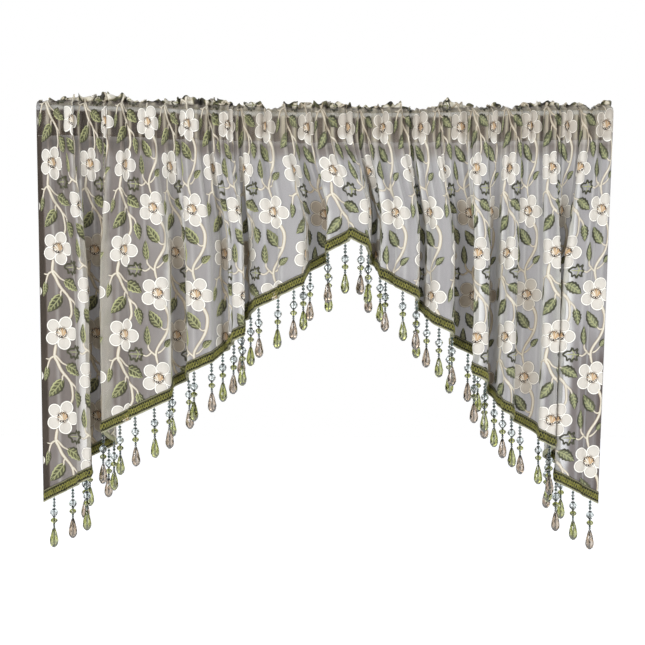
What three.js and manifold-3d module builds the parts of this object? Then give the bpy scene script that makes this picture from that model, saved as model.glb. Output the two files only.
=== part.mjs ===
// A sheer embroidered cafe curtain with a V-shaped hem, gathered on a slim rod.
// Millimetres, +Z up. The front faces -Y. The origin is the middle of the rod's left end face.
import * as THREE from 'three';
import { mergeVertices } from 'three/addons/utils/BufferGeometryUtils.js';
import Module from 'manifold-3d';

const wasm = await Module();
wasm.setup();

// The rod, which sags a little between its two ends.
const rodLength = 1096;
const rodRadius = 5.5;
const rodSag = 10;
const rodSides = 16;
const rodSteps = 12;

// The cloth: flat width, thickness, and depths below the middle of the rod.
const flatWidth = 2048;
const clothThickness = 1.2;
const ruffleHeight = 23;
const headerStitch = 13;
const pocketShoulder = 6;
const pocketWaist = -8;
const pocketSeam = -55;
const cornerDrop = 748;
const hemSlope = 0.5;
const sideMargin = 2;

// The pocket's two layers pass the rod with this much between their middles.
const pocketOpening = 39;
const headerFront = -26;
const headerBack = -14.2;

// Trims along the hem. Heights are measured upright, not square to the slope.
const pieceGap = 0.8;
const braidHeight = 23;
const braidThickness = 1.5;
const tapeHeight = 9;
const tapeThickness = 1.2;
const dropCount = 58;
const firstDrop = 0.56;
const dropSides = 4;
const threadSetback = 1.4;
const tapeEnd = 1;

// Fold strips at the hem, from left to right, each as wide as it is seen from the front.
// y is how far the strip stands in front of the rod (negative) or behind it.
const strips = [
  { left: 16, right: 78, y: -15 },
  { left: 87, right: 106, y: -24 },
  { left: 93, right: 148, y: 29 },
  { left: 130, right: 178, y: -19 },
  { left: 188, right: 253, y: -27 },
  { left: 257, right: 285, y: 13 },
  { left: 290, right: 332, y: -17 },
  { left: 350, right: 362, y: 11 },
  { left: 376, right: 392, y: -25 },
  { left: 388, right: 400, y: 20 },
  { left: 414, right: 452, y: -16 },
  { left: 461, right: 499, y: -24 },
  { left: 513, right: 546, y: 23 },
  { left: 548, right: 582, y: -17 },
  { left: 592, right: 621, y: -26 },
  { left: 632, right: 643, y: 28 },
  { left: 652, right: 673, y: -16 },
  { left: 682, right: 716, y: -24 },
  { left: 723, right: 734, y: 21 },
  { left: 752, right: 786, y: -16 },
  { left: 790, right: 838, y: 29 },
  { left: 824, right: 848, y: -24 },
  { left: 858, right: 869, y: 28 },
  { left: 885, right: 903, y: -16 },
  { left: 909, right: 949, y: 8 },
  { left: 959, right: 985, y: -18 },
  { left: 974, right: 1008, y: 26 },
  { left: 991, right: 1034, y: -15 },
  { left: 1044, right: 1072, y: -21 },
];
const foldSway = 2.2;

// Nearer the rod the cloth is spread more evenly than at the hem, by this share. The folds
// take their full shape below fallStart: soon in the middle, and farther down at the sides.
const headerEven = 0.75;
const fallStart = 30;
const fallMiddle = 180;
const fallSides = 420;

const lerp = (a, b, t) => a + (b - a) * t;
const clamp = THREE.MathUtils.clamp;
const smooth = (t) => THREE.MathUtils.smoothstep(t, 0, 1);

// Height of the rod's middle at x: level at both ends, lowest half way.
function rodHeight(x) {
  const s = clamp(x / rodLength, 0, 1);
  return -rodSag * (4 * s * (1 - s)) ** 2;
}

// How far along the folded hem each corner lies, from 0 at the left to 1 at the right.
const corners = strips.flatMap(({ left, right, y }) => [new THREE.Vector2(left, y), new THREE.Vector2(right, y)]);
const cornerLengths = corners.map(() => 0);
for (let k = 1; k < corners.length; k += 1) {
  cornerLengths[k] = cornerLengths[k - 1] + corners[k].distanceTo(corners[k - 1]);
}
const cornerShares = cornerLengths.map((length) => length / cornerLengths[corners.length - 1]);

// A corner's place across the gathers on the rod, where no fold laps over its neighbour.
function headPlace(k) {
  const even = lerp(corners[0].x, corners[corners.length - 1].x, cornerShares[k]);
  return lerp(corners[k].x, even, headerEven);
}

// Corner k of the folded plan line at a depth below the rod: two corners to a strip.
function planCorner(k, depth) {
  const { x: hemPlace, y: hemY } = corners[k];
  const fallEnd = lerp(fallMiddle, fallSides, Math.abs(2 * cornerShares[k] - 1));
  const fall = smooth((depth - fallStart) / (fallEnd - fallStart));
  const place = lerp(headPlace(k), hemPlace, fall);
  const across = (place - corners[0].x) / (corners[corners.length - 1].x - corners[0].x);
  const spread = lerp(sideMargin, rodLength - sideMargin, across);
  const sway = foldSway * Math.sin(hemPlace / 83 + depth / 140) * Math.sin(Math.PI * across);
  const headY = clamp(0.9 * hemY - 5, headerFront, headerBack);
  const x = lerp(spread, place, clamp(depth / cornerDrop, 0, 1)) + sway * fall;
  return new THREE.Vector2(x, lerp(headY, hemY, fall));
}

// Catmull-Rom point between corners 1 and 2 of four corners.
function roundedPoint(four, t) {
  const [a, b, c, d] = four;
  const point = b.clone().multiplyScalar(2);
  point.addScaledVector(c.clone().sub(a), t);
  const square = a.clone().multiplyScalar(2).addScaledVector(b, -5).addScaledVector(c, 4).sub(d);
  const cube = b.clone().sub(c).multiplyScalar(3).add(d).sub(a);
  return point.addScaledVector(square, t * t).addScaledVector(cube, t ** 3).multiplyScalar(0.5);
}

// The cloth's columns: three on each strip and two on each turn between strips.
const lastSpan = strips.length * 2 - 2;
const columnMarks = [{ span: 0, t: 0 }];
for (let span = 0; span <= lastSpan; span += 1) {
  const steps = span % 2 === 0 ? [0.16, 0.5, 0.84] : [0.25, 0.75];
  for (const t of steps) columnMarks.push({ span, t });
}
columnMarks.push({ span: lastSpan, t: 1 });
const columns = columnMarks.length - 1;

// The plan point of a column of the cloth at a depth below the rod.
function planPoint(column, depth) {
  const { span, t } = columnMarks[column];
  const corner = (k) => planCorner(clamp(k, 0, lastSpan + 1), depth);
  return roundedPoint([span - 1, span, span + 1, span + 2].map(corner), t);
}

// How far across the flat cloth each column lies, from the folded length at the hem.
function flatPlaces() {
  const places = [0];
  for (let column = 1; column <= columns; column += 1) {
    const step = planPoint(column, cornerDrop).distanceTo(planPoint(column - 1, cornerDrop));
    places.push(places[column - 1] + step);
  }
  const length = places[columns];
  return places.map((place) => (place / length) * flatWidth);
}
const flatPlace = flatPlaces();

// Depth of the hem's lower edge at a place across the flat cloth: an upside-down V.
function hemDrop(place) {
  const fromSide = Math.min(place, flatWidth - place);
  return cornerDrop - hemSlope * fromSide;
}

// Height of the ruffle's uneven top edge over the rod's middle.
function ruffleTop(place) {
  const wave = 3.5 * Math.sin(place / 47) + 2.5 * Math.sin(place / 19 + 1.3);
  return ruffleHeight + wave;
}

// How nearly the pocket is closed over the rod: 0 beside the rod, 1 at the stitch above it.
function closing(height) {
  return clamp((height - pocketWaist) / (headerStitch - pocketWaist), 0, 1) ** 4;
}

// The middle of the front layer. height is measured from the rod's middle, up positive.
function frontPoint(column, height) {
  const plan = planPoint(column, Math.max(-height, 0));
  const y = plan.y + (pocketOpening / 2) * closing(height);
  return new THREE.Vector3(plan.x, y, rodHeight(plan.x) + height);
}

// The middle of the pocket's back layer, which meets the front at the stitch and at the seam.
function backPoint(column, height) {
  const point = frontPoint(column, height);
  const fromSeam = clamp((height - pocketSeam) / (pocketWaist - pocketSeam), 0, 1);
  point.y += pocketOpening * Math.min(1 - closing(height), fromSeam);
  return point;
}

// The level direction square to a row of points at one of them, lengthened at a bend.
// sharpestBend is the cosine of half the sharpest turn that is still lengthened in full.
const sharpestBend = 0.58;

function squareTo(points, index) {
  const here = points[index];
  const before = points[Math.max(index - 1, 0)];
  const after = points[Math.min(index + 1, points.length - 1)];
  const into = here.clone().sub(before).setZ(0).normalize();
  const out = after.clone().sub(here).setZ(0).normalize();
  const along = into.clone().add(out).normalize();
  const bend = Math.max(along.dot(into), along.dot(out), sharpestBend);
  return new THREE.Vector3(-along.y, along.x, 0).divideScalar(bend);
}

// Splits the box's underside along the same diagonals as its top, so that where a sheet
// twists, its two faces keep their distance.
function splitAlike(box) {
  const index = box.getIndex();
  const { start, count } = box.groups[3];
  for (let i = start; i < start + count; i += 6) {
    const [a, b, d, , c] = [0, 1, 2, 3, 4].map((step) => index.getX(i + step));
    [a, b, c, a, c, d].forEach((corner, step) => index.setX(i + step, corner));
  }
}

// A sheet: a box bent to follow a grid of points, shifted square to it towards the back.
function sheetGeometry(pointAt, columnCount, rowCount, thickness, offset) {
  const grid = [];
  for (let row = 0; row <= rowCount; row += 1) {
    grid.push([]);
    for (let column = 0; column <= columnCount; column += 1) grid[row].push(pointAt(column, row));
  }
  const box = new THREE.BoxGeometry(columnCount, 2, rowCount, columnCount, 1, rowCount);
  splitAlike(box);
  const position = box.getAttribute('position');
  for (let i = 0; i < position.count; i += 1) {
    const column = Math.round(position.getX(i) + columnCount / 2);
    const row = Math.round(rowCount / 2 - position.getZ(i));
    const shift = offset + position.getY(i) * (thickness / 2);
    const point = grid[row][column].clone().addScaledVector(squareTo(grid[row], column), shift);
    position.setXYZ(i, point.x, point.y, point.z);
  }
  return box;
}

// Joining and cutting solids.
function toSolid(geometry) {
  const bare = geometry.clone();
  bare.deleteAttribute('normal');
  bare.deleteAttribute('uv');
  const merged = mergeVertices(bare, 1e-4);
  const vertProperties = new Float32Array(merged.getAttribute('position').array);
  const triVerts = new Uint32Array(merged.getIndex().array);
  return new wasm.Manifold(new wasm.Mesh({ numProp: 3, vertProperties, triVerts }));
}

function toGeometry(solid) {
  const mesh = solid.getMesh();
  const geometry = new THREE.BufferGeometry();
  geometry.setAttribute('position', new THREE.BufferAttribute(mesh.vertProperties, 3));
  geometry.setIndex(new THREE.BufferAttribute(mesh.triVerts, 1));
  geometry.computeVertexNormals();
  return geometry;
}

function joined(geometries) {
  return toGeometry(geometries.map(toSolid).reduce((whole, piece) => whole.add(piece)));
}

// The rod: a round bar along a sagging line.
class SaggingLine extends THREE.Curve {
  getPoint(t, target = new THREE.Vector3()) {
    const x = t * rodLength;
    return target.set(x, 0, rodHeight(x));
  }
}

function rodGeometry() {
  const section = new THREE.Shape().absarc(0, 0, rodRadius, 0, Math.PI * 2, false);
  const extrudePath = new SaggingLine();
  return new THREE.ExtrudeGeometry(section, { steps: rodSteps, curveSegments: rodSides / 2, extrudePath });
}

// The panel: front layer from the ruffle to the hem, and the pocket's back layer.
const bodyDepths = [100, 180];
const lowerBody = 0.4;

function frontRowHeights(column) {
  const place = flatPlace[column];
  const drop = hemDrop(place);
  const header = [ruffleTop(place), headerStitch, pocketShoulder, pocketWaist, pocketSeam];
  const upper = bodyDepths.map((depth) => -depth);
  const lower = lerp(upper[upper.length - 1], braidHeight - drop, lowerBody);
  return [...header, ...upper, lower, braidHeight - drop, -drop];
}

const pocketHeights = [headerStitch, pocketShoulder, pocketWaist, pocketSeam];

function panelGeometry() {
  const front = (column, row) => frontPoint(column, frontRowHeights(column)[row]);
  const back = (column, row) => backPoint(column, pocketHeights[row]);
  const frontRows = frontRowHeights(0).length - 1;
  const frontLayer = sheetGeometry(front, columns, frontRows, clothThickness, 0);
  const backLayer = sheetGeometry(back, columns, pocketHeights.length - 1, clothThickness, 0);
  return joined([frontLayer, backLayer]);
}

// A point above the hem's lower edge at any place across the flat cloth.
function hemPoint(place, above) {
  const next = clamp(flatPlace.findIndex((mark) => mark >= place), 1, columns);
  const from = flatPlace[next - 1];
  const t = (place - from) / (flatPlace[next] - from);
  const ends = [next - 1, next].map((column) => frontPoint(column, above - hemDrop(flatPlace[column])));
  return ends[0].lerp(ends[1], t);
}

// A strip along the hem between two places, with its columns on the cloth's own.
function hemStrip(from, to, height, thickness, offset) {
  const inner = flatPlace.filter((place) => place > from && place < to);
  const places = [from, ...inner, to];
  const pointAt = (column, row) => hemPoint(places[column], row === 0 ? height : 0);
  return sheetGeometry(pointAt, places.length - 1, 1, thickness, offset);
}

// The braid, laid on the front of the hem.
function braidGeometry() {
  const offset = -(clothThickness / 2 + pieceGap + braidThickness / 2);
  return hemStrip(0, flatWidth, braidHeight, braidThickness, offset);
}

// One hanging bead drop: thread, round crystal, flat round bead and a long teardrop.
const dropProfile = [
  { radius: 0, below: -3 },
  { radius: 1.1, below: -3 },
  { radius: 1.1, below: 22 },
  { radius: 5.6, below: 31 },
  { radius: 1.6, below: 39 },
  { radius: 5.8, below: 45 },
  { radius: 1.8, below: 52 },
  { radius: 8.6, below: 80 },
  { radius: 0, below: 97 },
];

function dropGeometry() {
  const points = dropProfile.map(({ radius, below }) => new THREE.Vector2(radius, -below)).reverse();
  return new THREE.LatheGeometry(points, dropSides).rotateX(Math.PI / 2);
}

// The bead fringe of one half: a tape behind the hem, and the drops that hang from it.
function fringeGeometry(from, to) {
  const behind = clothThickness / 2 + pieceGap;
  const pieces = [hemStrip(from, to, tapeHeight, tapeThickness, behind + tapeThickness / 2)];
  for (let drop = 0; drop < dropCount; drop += 1) {
    const place = ((drop + firstDrop) * flatWidth) / dropCount;
    if (place < from || place > to) continue;
    const along = hemPoint(place + 0.1, 0).sub(hemPoint(place - 0.1, 0)).setZ(0).normalize();
    const square = new THREE.Vector3(-along.y, along.x, 0);
    const point = hemPoint(place, 0).addScaledVector(square, behind + threadSetback);
    pieces.push(dropGeometry().translate(point.x, point.y, point.z));
  }
  return joined(pieces);
}

// Materials and the finished group.
function material(color, roughness) {
  return new THREE.MeshStandardMaterial({ color, roughness, metalness: 0 });
}

const middle = flatWidth / 2;
const curtain = new THREE.Group();
const pieces = [
  ['rod', rodGeometry(), material(0xe4e8ec, 0.35)],
  ['panel', panelGeometry(), material(0xb9b7ae, 0.85)],
  ['braid', braidGeometry(), material(0x5f6126, 0.8)],
  ['bead_fringe_left', fringeGeometry(tapeEnd, middle - tapeEnd), material(0xa9b96a, 0.2)],
  ['bead_fringe_right', fringeGeometry(middle + tapeEnd, flatWidth - tapeEnd), material(0xa9b96a, 0.2)],
];
for (const [name, geometry, finish] of pieces) {
  const mesh = new THREE.Mesh(geometry, finish);
  mesh.name = name;
  curtain.add(mesh);
}

export default curtain;
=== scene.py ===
import math

import bpy
import numpy as np
from mathutils import Matrix, Vector


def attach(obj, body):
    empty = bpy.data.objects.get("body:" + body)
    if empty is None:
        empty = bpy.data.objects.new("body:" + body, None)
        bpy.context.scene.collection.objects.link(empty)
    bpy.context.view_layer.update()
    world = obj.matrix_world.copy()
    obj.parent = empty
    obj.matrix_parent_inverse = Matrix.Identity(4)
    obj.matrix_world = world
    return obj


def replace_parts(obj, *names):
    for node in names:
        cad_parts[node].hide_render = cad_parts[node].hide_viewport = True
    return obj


# A sheer embroidered lace curtain with an upside-down V hem, gathered on a slim rod.
# Shapes are worked out in millimetres in the frame's own axes and stored in metres:
# x runs along the rod, y from the front to the back, z up from the middle of the rod.
# On the flat cloth, u runs across from the left edge and v down from the rod.

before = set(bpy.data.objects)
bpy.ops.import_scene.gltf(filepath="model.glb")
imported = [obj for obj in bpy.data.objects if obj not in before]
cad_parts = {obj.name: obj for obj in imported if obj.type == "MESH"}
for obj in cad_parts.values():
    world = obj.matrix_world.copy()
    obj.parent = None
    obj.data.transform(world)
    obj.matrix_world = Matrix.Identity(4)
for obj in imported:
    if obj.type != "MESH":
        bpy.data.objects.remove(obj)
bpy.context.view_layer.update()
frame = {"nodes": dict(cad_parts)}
print("frame loaded:", ", ".join(frame["nodes"]))

rng = np.random.default_rng(7)
metre = 0.001
turn = 2 * math.pi


def lerp(a, b, t):  # a at t = 0 and b at t = 1
    return a + (b - a) * t


def smooth(t):  # 3t^2 - 2t^3 between 0 and 1
    t = np.clip(t, 0, 1)
    return t * t * (3 - 2 * t)


def catmullRom(a, b, c, d, t):
    # The cubic from b to c with slopes (c - a) / 2 and (d - b) / 2 there, and its direction
    one, two, three = c - a, 2 * a - 5 * b + 4 * c - d, 3 * (b - c) + d - a
    return 0.5 * (2 * b + one * t + two * t**2 + three * t**3), one + 2 * two * t + 3 * three * t**2


def srgb(*levels):  # screen levels from 0 to 255, as the linear colour a shader takes
    level = np.array(levels, float) / 255
    linear = np.where(level <= 0.04045, level / 12.92, ((level + 0.055) / 1.055) ** 2.4)
    return (*linear.tolist(), 1.0)


# Meshes

def gridFaces(rows, columns, closed=False):
    # Four-sided faces of a grid of points numbered row by row. With rows going down and
    # columns to the right they face the front; closed joins the last column to the first.
    number = np.arange(rows * columns).reshape(rows, columns)
    if closed:
        number = np.hstack([number, number[:, :1]])
    corners = [number[:-1, :-1], number[1:, :-1], number[1:, 1:], number[:-1, 1:]]
    return np.stack(corners, -1).reshape(-1, 4)


def repeatFaces(faces, count, pointCount):
    # The same faces again for each of count copies of a shape with pointCount points
    return (faces[None] + np.arange(count)[:, None, None] * pointCount).reshape(-1, faces.shape[1])


def merged(*shapes):
    # Several shapes as one
    starts = np.cumsum([0] + [len(points) for points, _, _ in shapes])
    points = np.vstack([points for points, _, _ in shapes])
    faces = np.vstack([faces + start for (_, faces, _), start in zip(shapes, starts)])
    marks = {name: np.concatenate([marks[name] for _, _, marks in shapes]) for name in shapes[0][2]}
    return points, faces, marks


def makePiece(name, shape, material, uv=None, flatShade=False):
    # A shape is its points, its faces and its marks. The faces are an array of rows of point
    # numbers, or a list of such arrays, and each mark has a number for every point.
    points, faces, marks = shape
    sets = faces if isinstance(faces, list) else [faces]
    loops = np.concatenate([f.ravel() for f in sets])
    sizes = np.concatenate([np.full(len(f), f.shape[1]) for f in sets])
    starts = np.concatenate([[0], np.cumsum(sizes)[:-1]])
    mesh = bpy.data.meshes.new(name)
    mesh.vertices.add(len(points))
    mesh.vertices.foreach_set("co", (points * metre).astype(np.float32).ravel())
    mesh.loops.add(len(loops))
    mesh.loops.foreach_set("vertex_index", loops.astype(np.int32))
    mesh.polygons.add(len(sizes))
    mesh.polygons.foreach_set("loop_start", starts.astype(np.int32))
    mesh.polygons.foreach_set("use_smooth", np.full(len(sizes), not flatShade))
    if uv is not None:
        layer = mesh.uv_layers.new(name="uv")
        layer.data.foreach_set("uv", uv[loops].astype(np.float32).ravel())
    for mark, values in marks.items():
        attribute = mesh.attributes.new(mark, "FLOAT", "POINT")
        attribute.data.foreach_set("value", values.astype(np.float32).ravel())
    mesh.update(calc_edges=True)
    mesh.materials.append(material)
    piece = bpy.data.objects.new(name, mesh)
    bpy.context.collection.objects.link(piece)
    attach(piece, "root")
    print(f"{name}: {int((sizes - 2).sum())} triangles")
    return piece


# The way the cloth hangs

rod = {"length": 1096.0, "radius": 5.5, "sag": 10.0, "sides": 40, "steps": 96, "endRound": 1.2}

cloth = {
    "flatWidth": 2048.0,  # flat width between the side edges
    "cornerDrop": 748.0,  # depth of the hem at the sides
    "hemSlope": 0.5,  # climb of the hem towards the middle
    "stitch": 13.0,  # height of the stitch line over the rod
    "waist": -8.0,  # height where the pocket is widest
    "seam": -55.0,  # height of the seam that closes the pocket
    "pocketRoom": 39.0,  # room between the pocket's layers at the rod
    "headerFront": -26.0,  # least and greatest y of the folds at the rod
    "headerBack": -14.2,
    "headerEven": 0.75,  # how evenly the folds share the rod
    "sideMargin": 2.0,  # bare rod left at each end
    "sideHem": 13.0,  # width of the turned side hems
    "sway": 2.2,  # how far the folds wander on their way down
    "fallStart": 30.0,  # depth where the folds begin to leave their places on the rod
    "fallMiddle": 180.0,  # depth where the folds have their full shape, in the middle
    "fallSides": 420.0,  # and at the sides
    "gatherPitch": 33.0,  # flat distance between the fine gathers
    "gatherLeast": 1.5,  # their height far below the rod
    "gatherMost": 4.6,
    "gatherShare": 0.72,  # share of the slack that they take up
    "ripple": 0.32,  # height of the finest ripples, everywhere
    "hemGap": 1.1,  # the side hems lie this far behind the cloth
}

ruffle = {
    "fullness": 1.7,  # each of its two layers stands out by this, half way up
    "sink": 2.5,  # its edge lies this much lower than the table's, to allow for the waves
    "edgeWaves": (2.4, 1.6),
    "forwardWaves": (4.6, 2.4),
    "sidewaysWave": 4.2,
    "gathers": 0.5,  # share by which the fine gathers grow towards its edge
}

# The folds at the hem from left to right: left edge, right edge, and y of each strip
foldStrips = np.array([
    (16, 78, -15), (87, 106, -24), (93, 148, 29), (130, 178, -19), (188, 253, -27), (257, 285, 13),
    (290, 332, -17), (350, 362, 11), (376, 392, -25), (388, 400, 20), (414, 452, -16), (461, 499, -24),
    (513, 546, 23), (548, 582, -17), (592, 621, -26), (632, 643, 28), (652, 673, -16), (682, 716, -24),
    (723, 734, 21), (752, 786, -16), (790, 838, 29), (824, 848, -24), (858, 869, 28), (885, 903, -16),
    (909, 949, 8), (959, 985, -18), (974, 1008, 26), (991, 1034, -15), (1044, 1072, -21),
], float)
cornerX = foldStrips[:, :2].ravel()
cornerY = np.repeat(foldStrips[:, 2], 2)
cornerShare = np.concatenate([[0], np.cumsum(np.hypot(np.diff(cornerX), np.diff(cornerY)))])
cornerShare /= cornerShare[-1]
cornerHead = lerp(cornerX, lerp(cornerX[0], cornerX[-1], cornerShare), cloth["headerEven"])
fallEnd = lerp(cloth["fallMiddle"], cloth["fallSides"], np.abs(2 * cornerShare - 1))
lastSpan = len(cornerX) - 2

# Height of the ruffle's edge over the rod, at places along the rod
ruffleEdge = np.array([
    (3, 15), (48, 19), (79, 27), (124, 31), (155, 32), (185, 19), (231, 22), (277, 30), (337, 30),
    (383, 19), (413, 29), (444, 8), (474, 27), (550, 28), (626, 20), (687, 26), (717, 13), (748, 17),
    (778, 33), (809, 25), (839, 13), (869, 24), (900, 13), (945, 27), (991, 22), (1036, 22),
    (1052, 10), (1082, 25),
], float)


def rodHeight(x):
    # The rod's middle: level at both ends and lowest half way, -sag (4 s (1 - s))^2
    s = np.clip(x / rod["length"], 0, 1)
    return -rod["sag"] * (4 * s * (1 - s)) ** 2


def planCorner(k, depth):
    # Corner k slides from its place on the rod to its place at the hem as depth grows
    k = np.clip(k, 0, lastSpan + 1)
    fall = smooth((depth - cloth["fallStart"]) / (fallEnd[k] - cloth["fallStart"]))
    place = lerp(cornerHead[k], cornerX[k], fall)
    across = (place - cornerX[0]) / (cornerX[-1] - cornerX[0])
    spread = lerp(cloth["sideMargin"], rod["length"] - cloth["sideMargin"], across)
    sway = cloth["sway"] * np.sin(cornerX[k] / 83 + depth / 140) * np.sin(math.pi * across)
    headY = np.clip(0.9 * cornerY[k] - 5, cloth["headerFront"], cloth["headerBack"])
    x = lerp(spread, place, np.clip(depth / cloth["cornerDrop"], 0, 1)) + sway * fall
    return np.stack([x, lerp(headY, cornerY[k], fall)])


def planLine(q, depth):
    # The folded plan line at span number q, as a Catmull-Rom curve through the corners,
    # with its unit direction
    q, depth = np.broadcast_arrays(q, depth)
    span = np.clip(np.floor(q), 0, lastSpan).astype(int)
    t = q - span
    point, along = catmullRom(*(planCorner(span + i, depth) for i in (-1, 0, 1, 2)), t)
    return point, along / np.maximum(np.hypot(*along), 1e-9)


spanMarks = np.linspace(0, lastSpan + 1, 8001)
hemLine, _ = planLine(spanMarks, cloth["cornerDrop"])
hemLengths = np.concatenate([[0], np.cumsum(np.hypot(*np.diff(hemLine, axis=1)))])
flatMarks = hemLengths / hemLengths[-1] * cloth["flatWidth"]


def spanAt(u):
    # The span number at a place across, read from the lengths along the hem's folds
    return np.interp(u, flatMarks, spanMarks)


def hemDrop(u):
    # Depth of the hem's edge: an upside-down V
    return cloth["cornerDrop"] - cloth["hemSlope"] * np.minimum(u, cloth["flatWidth"] - u)


headLine, _ = planLine(spanMarks, 0.0)


def ruffleTop(u):
    # Height of the ruffle's edge: the table's, with two small quick waves
    x = np.interp(u, flatMarks, headLine[0])
    slow, quick = ruffle["edgeWaves"]
    waves = slow * np.sin(u / 5.9 + 1.3) + quick * np.sin(u / 2.9 + 0.8 * np.sin(u / 41))
    return np.interp(x, *ruffleEdge.T) - ruffle["sink"] + waves


# The fine gathers take up the length that the main folds leave over near the rod.
# Of a wave with pitch p and slack r, the height is p / (2 pi r) sqrt(2 (r^2 - 1)).
gatherU = np.linspace(0, cloth["flatWidth"], 1025)
gatherDepth = np.linspace(0, 480, 81)
gatherPitch = cloth["gatherPitch"] * (
    1 + 0.26 * np.sin(gatherU / 61 + 0.7) + 0.2 * np.sin(gatherU / 23.7 + 2)
)
gatherPhase = np.cumsum(turn * (gatherU[1] - gatherU[0]) / gatherPitch)


def gatherHeights():
    # The gathers' height by depth and u, from the slack of the main folds there
    line, _ = planLine(spanAt(gatherU)[None], gatherDepth[:, None])
    speed = np.hypot(*np.diff(line, axis=2)) / (gatherU[1] - gatherU[0])
    window = np.ones(17) / 17
    padded = np.pad(speed, ((0, 0), (8, 9)), "edge")
    calm = np.stack([np.convolve(row, window, "valid") for row in padded])
    slack = 1 / np.clip(calm, 0.2, 1)
    uneven = 1 + 0.22 * np.sin(gatherU / 97 + 1) + 0.14 * np.sin(gatherU / 38)
    height = gatherPitch * calm / turn * np.sqrt(2 * (slack**2 - 1))
    height = cloth["gatherShare"] * height * uneven
    return np.clip(height, cloth["gatherLeast"] * uneven, cloth["gatherMost"])


gatherTable = gatherHeights()


def readTable(table, depth, u):
    # Between four neighbours in a table by depth and u
    rows = np.clip(depth / (gatherDepth[1] - gatherDepth[0]), 0, len(gatherDepth) - 1.001)
    columns = np.clip(u / (gatherU[1] - gatherU[0]), 0, len(gatherU) - 1.001)
    i, j = rows.astype(int), columns.astype(int)
    s, t = rows - i, columns - j
    return lerp(lerp(table[i, j], table[i, j + 1], t), lerp(table[i + 1, j], table[i + 1, j + 1], t), s)


def gatherWave(u):
    # A sine that leans over: sin(p + sin(p) / 2), with p from the gathers' uneven pitch
    phase = np.interp(u, gatherU, gatherPhase)
    return np.sin(phase + 0.5 * np.sin(phase))


def clothPoint(u, v):
    # A point of the flat cloth as it hangs: on the plan line for its depth, pushed square to
    # it by the fine gathers. Past the ruffle's edge the cloth turns down behind the rod.
    u, v = np.broadcast_arrays(np.asarray(u, float), v)
    top = ruffleTop(u)
    turned = v < -top
    height = np.where(turned, 2 * top + v, -v)
    depth = np.maximum(-height, 0)
    (x, y), (alongX, alongY) = planLine(spanAt(u), depth)
    z = rodHeight(x) + height
    stitch, waist, seam = cloth["stitch"], cloth["waist"], cloth["seam"]
    closing = np.clip((height - waist) / (stitch - waist), 0, 1) ** 4
    fromSeam = np.clip((height - seam) / (waist - seam), 0, 1)
    back = np.where(turned, np.minimum(1 - closing, fromSeam), 0)
    y = y + cloth["pocketRoom"] * (closing / 2 + back)
    up = np.clip((height - stitch) / np.maximum(top - stitch, 4), 0, 1)
    apart = ruffle["fullness"] * np.sqrt(np.clip(np.sin(math.pi * up), 0, 1)) + 0.3 * (1 - up)
    gather = readTable(gatherTable, depth, u) * (1 + ruffle["gathers"] * up) * gatherWave(u)
    ripple = cloth["ripple"] * np.sin(u / 2.9 + 1.5 * np.sin(u / 31) + depth / 210)
    push = gather + ripple + np.where(turned, apart, -apart)
    slow, quick = ruffle["forwardWaves"]
    x = x + ruffle["sidewaysWave"] * up * np.sin(u / 9.3 + 0.6)
    y = y + up * (slow * np.sin(u / 14.7 + 1) + quick * np.sin(u / 6.1 + height / 5))
    return np.stack([x - alongY * push, y + alongX * push, z], -1)


def clothNormal(u, v):
    # The unit direction out of the cloth's face, from differences across and down
    across = clothPoint(u + 0.8, v) - clothPoint(u - 0.8, v)
    down = clothPoint(u, v + 1.5) - clothPoint(u, v - 1.5)
    normal = np.cross(down, across)
    return normal / np.linalg.norm(normal, axis=-1, keepdims=True)


def sheetPoint(u, v):
    # The cloth with its side hems: past a side edge it turns back close behind itself
    width = cloth["flatWidth"]
    beyond = np.maximum(np.maximum(-u, u - width), 0)
    inside = np.clip(np.where(u > width, 2 * width - u, np.abs(u)), 0, width)
    behind = cloth["hemGap"] * (1 - np.exp(-beyond / 1.2))
    return clothPoint(inside, v) - clothNormal(inside, v) * behind[..., None]


# Shader groups

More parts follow.
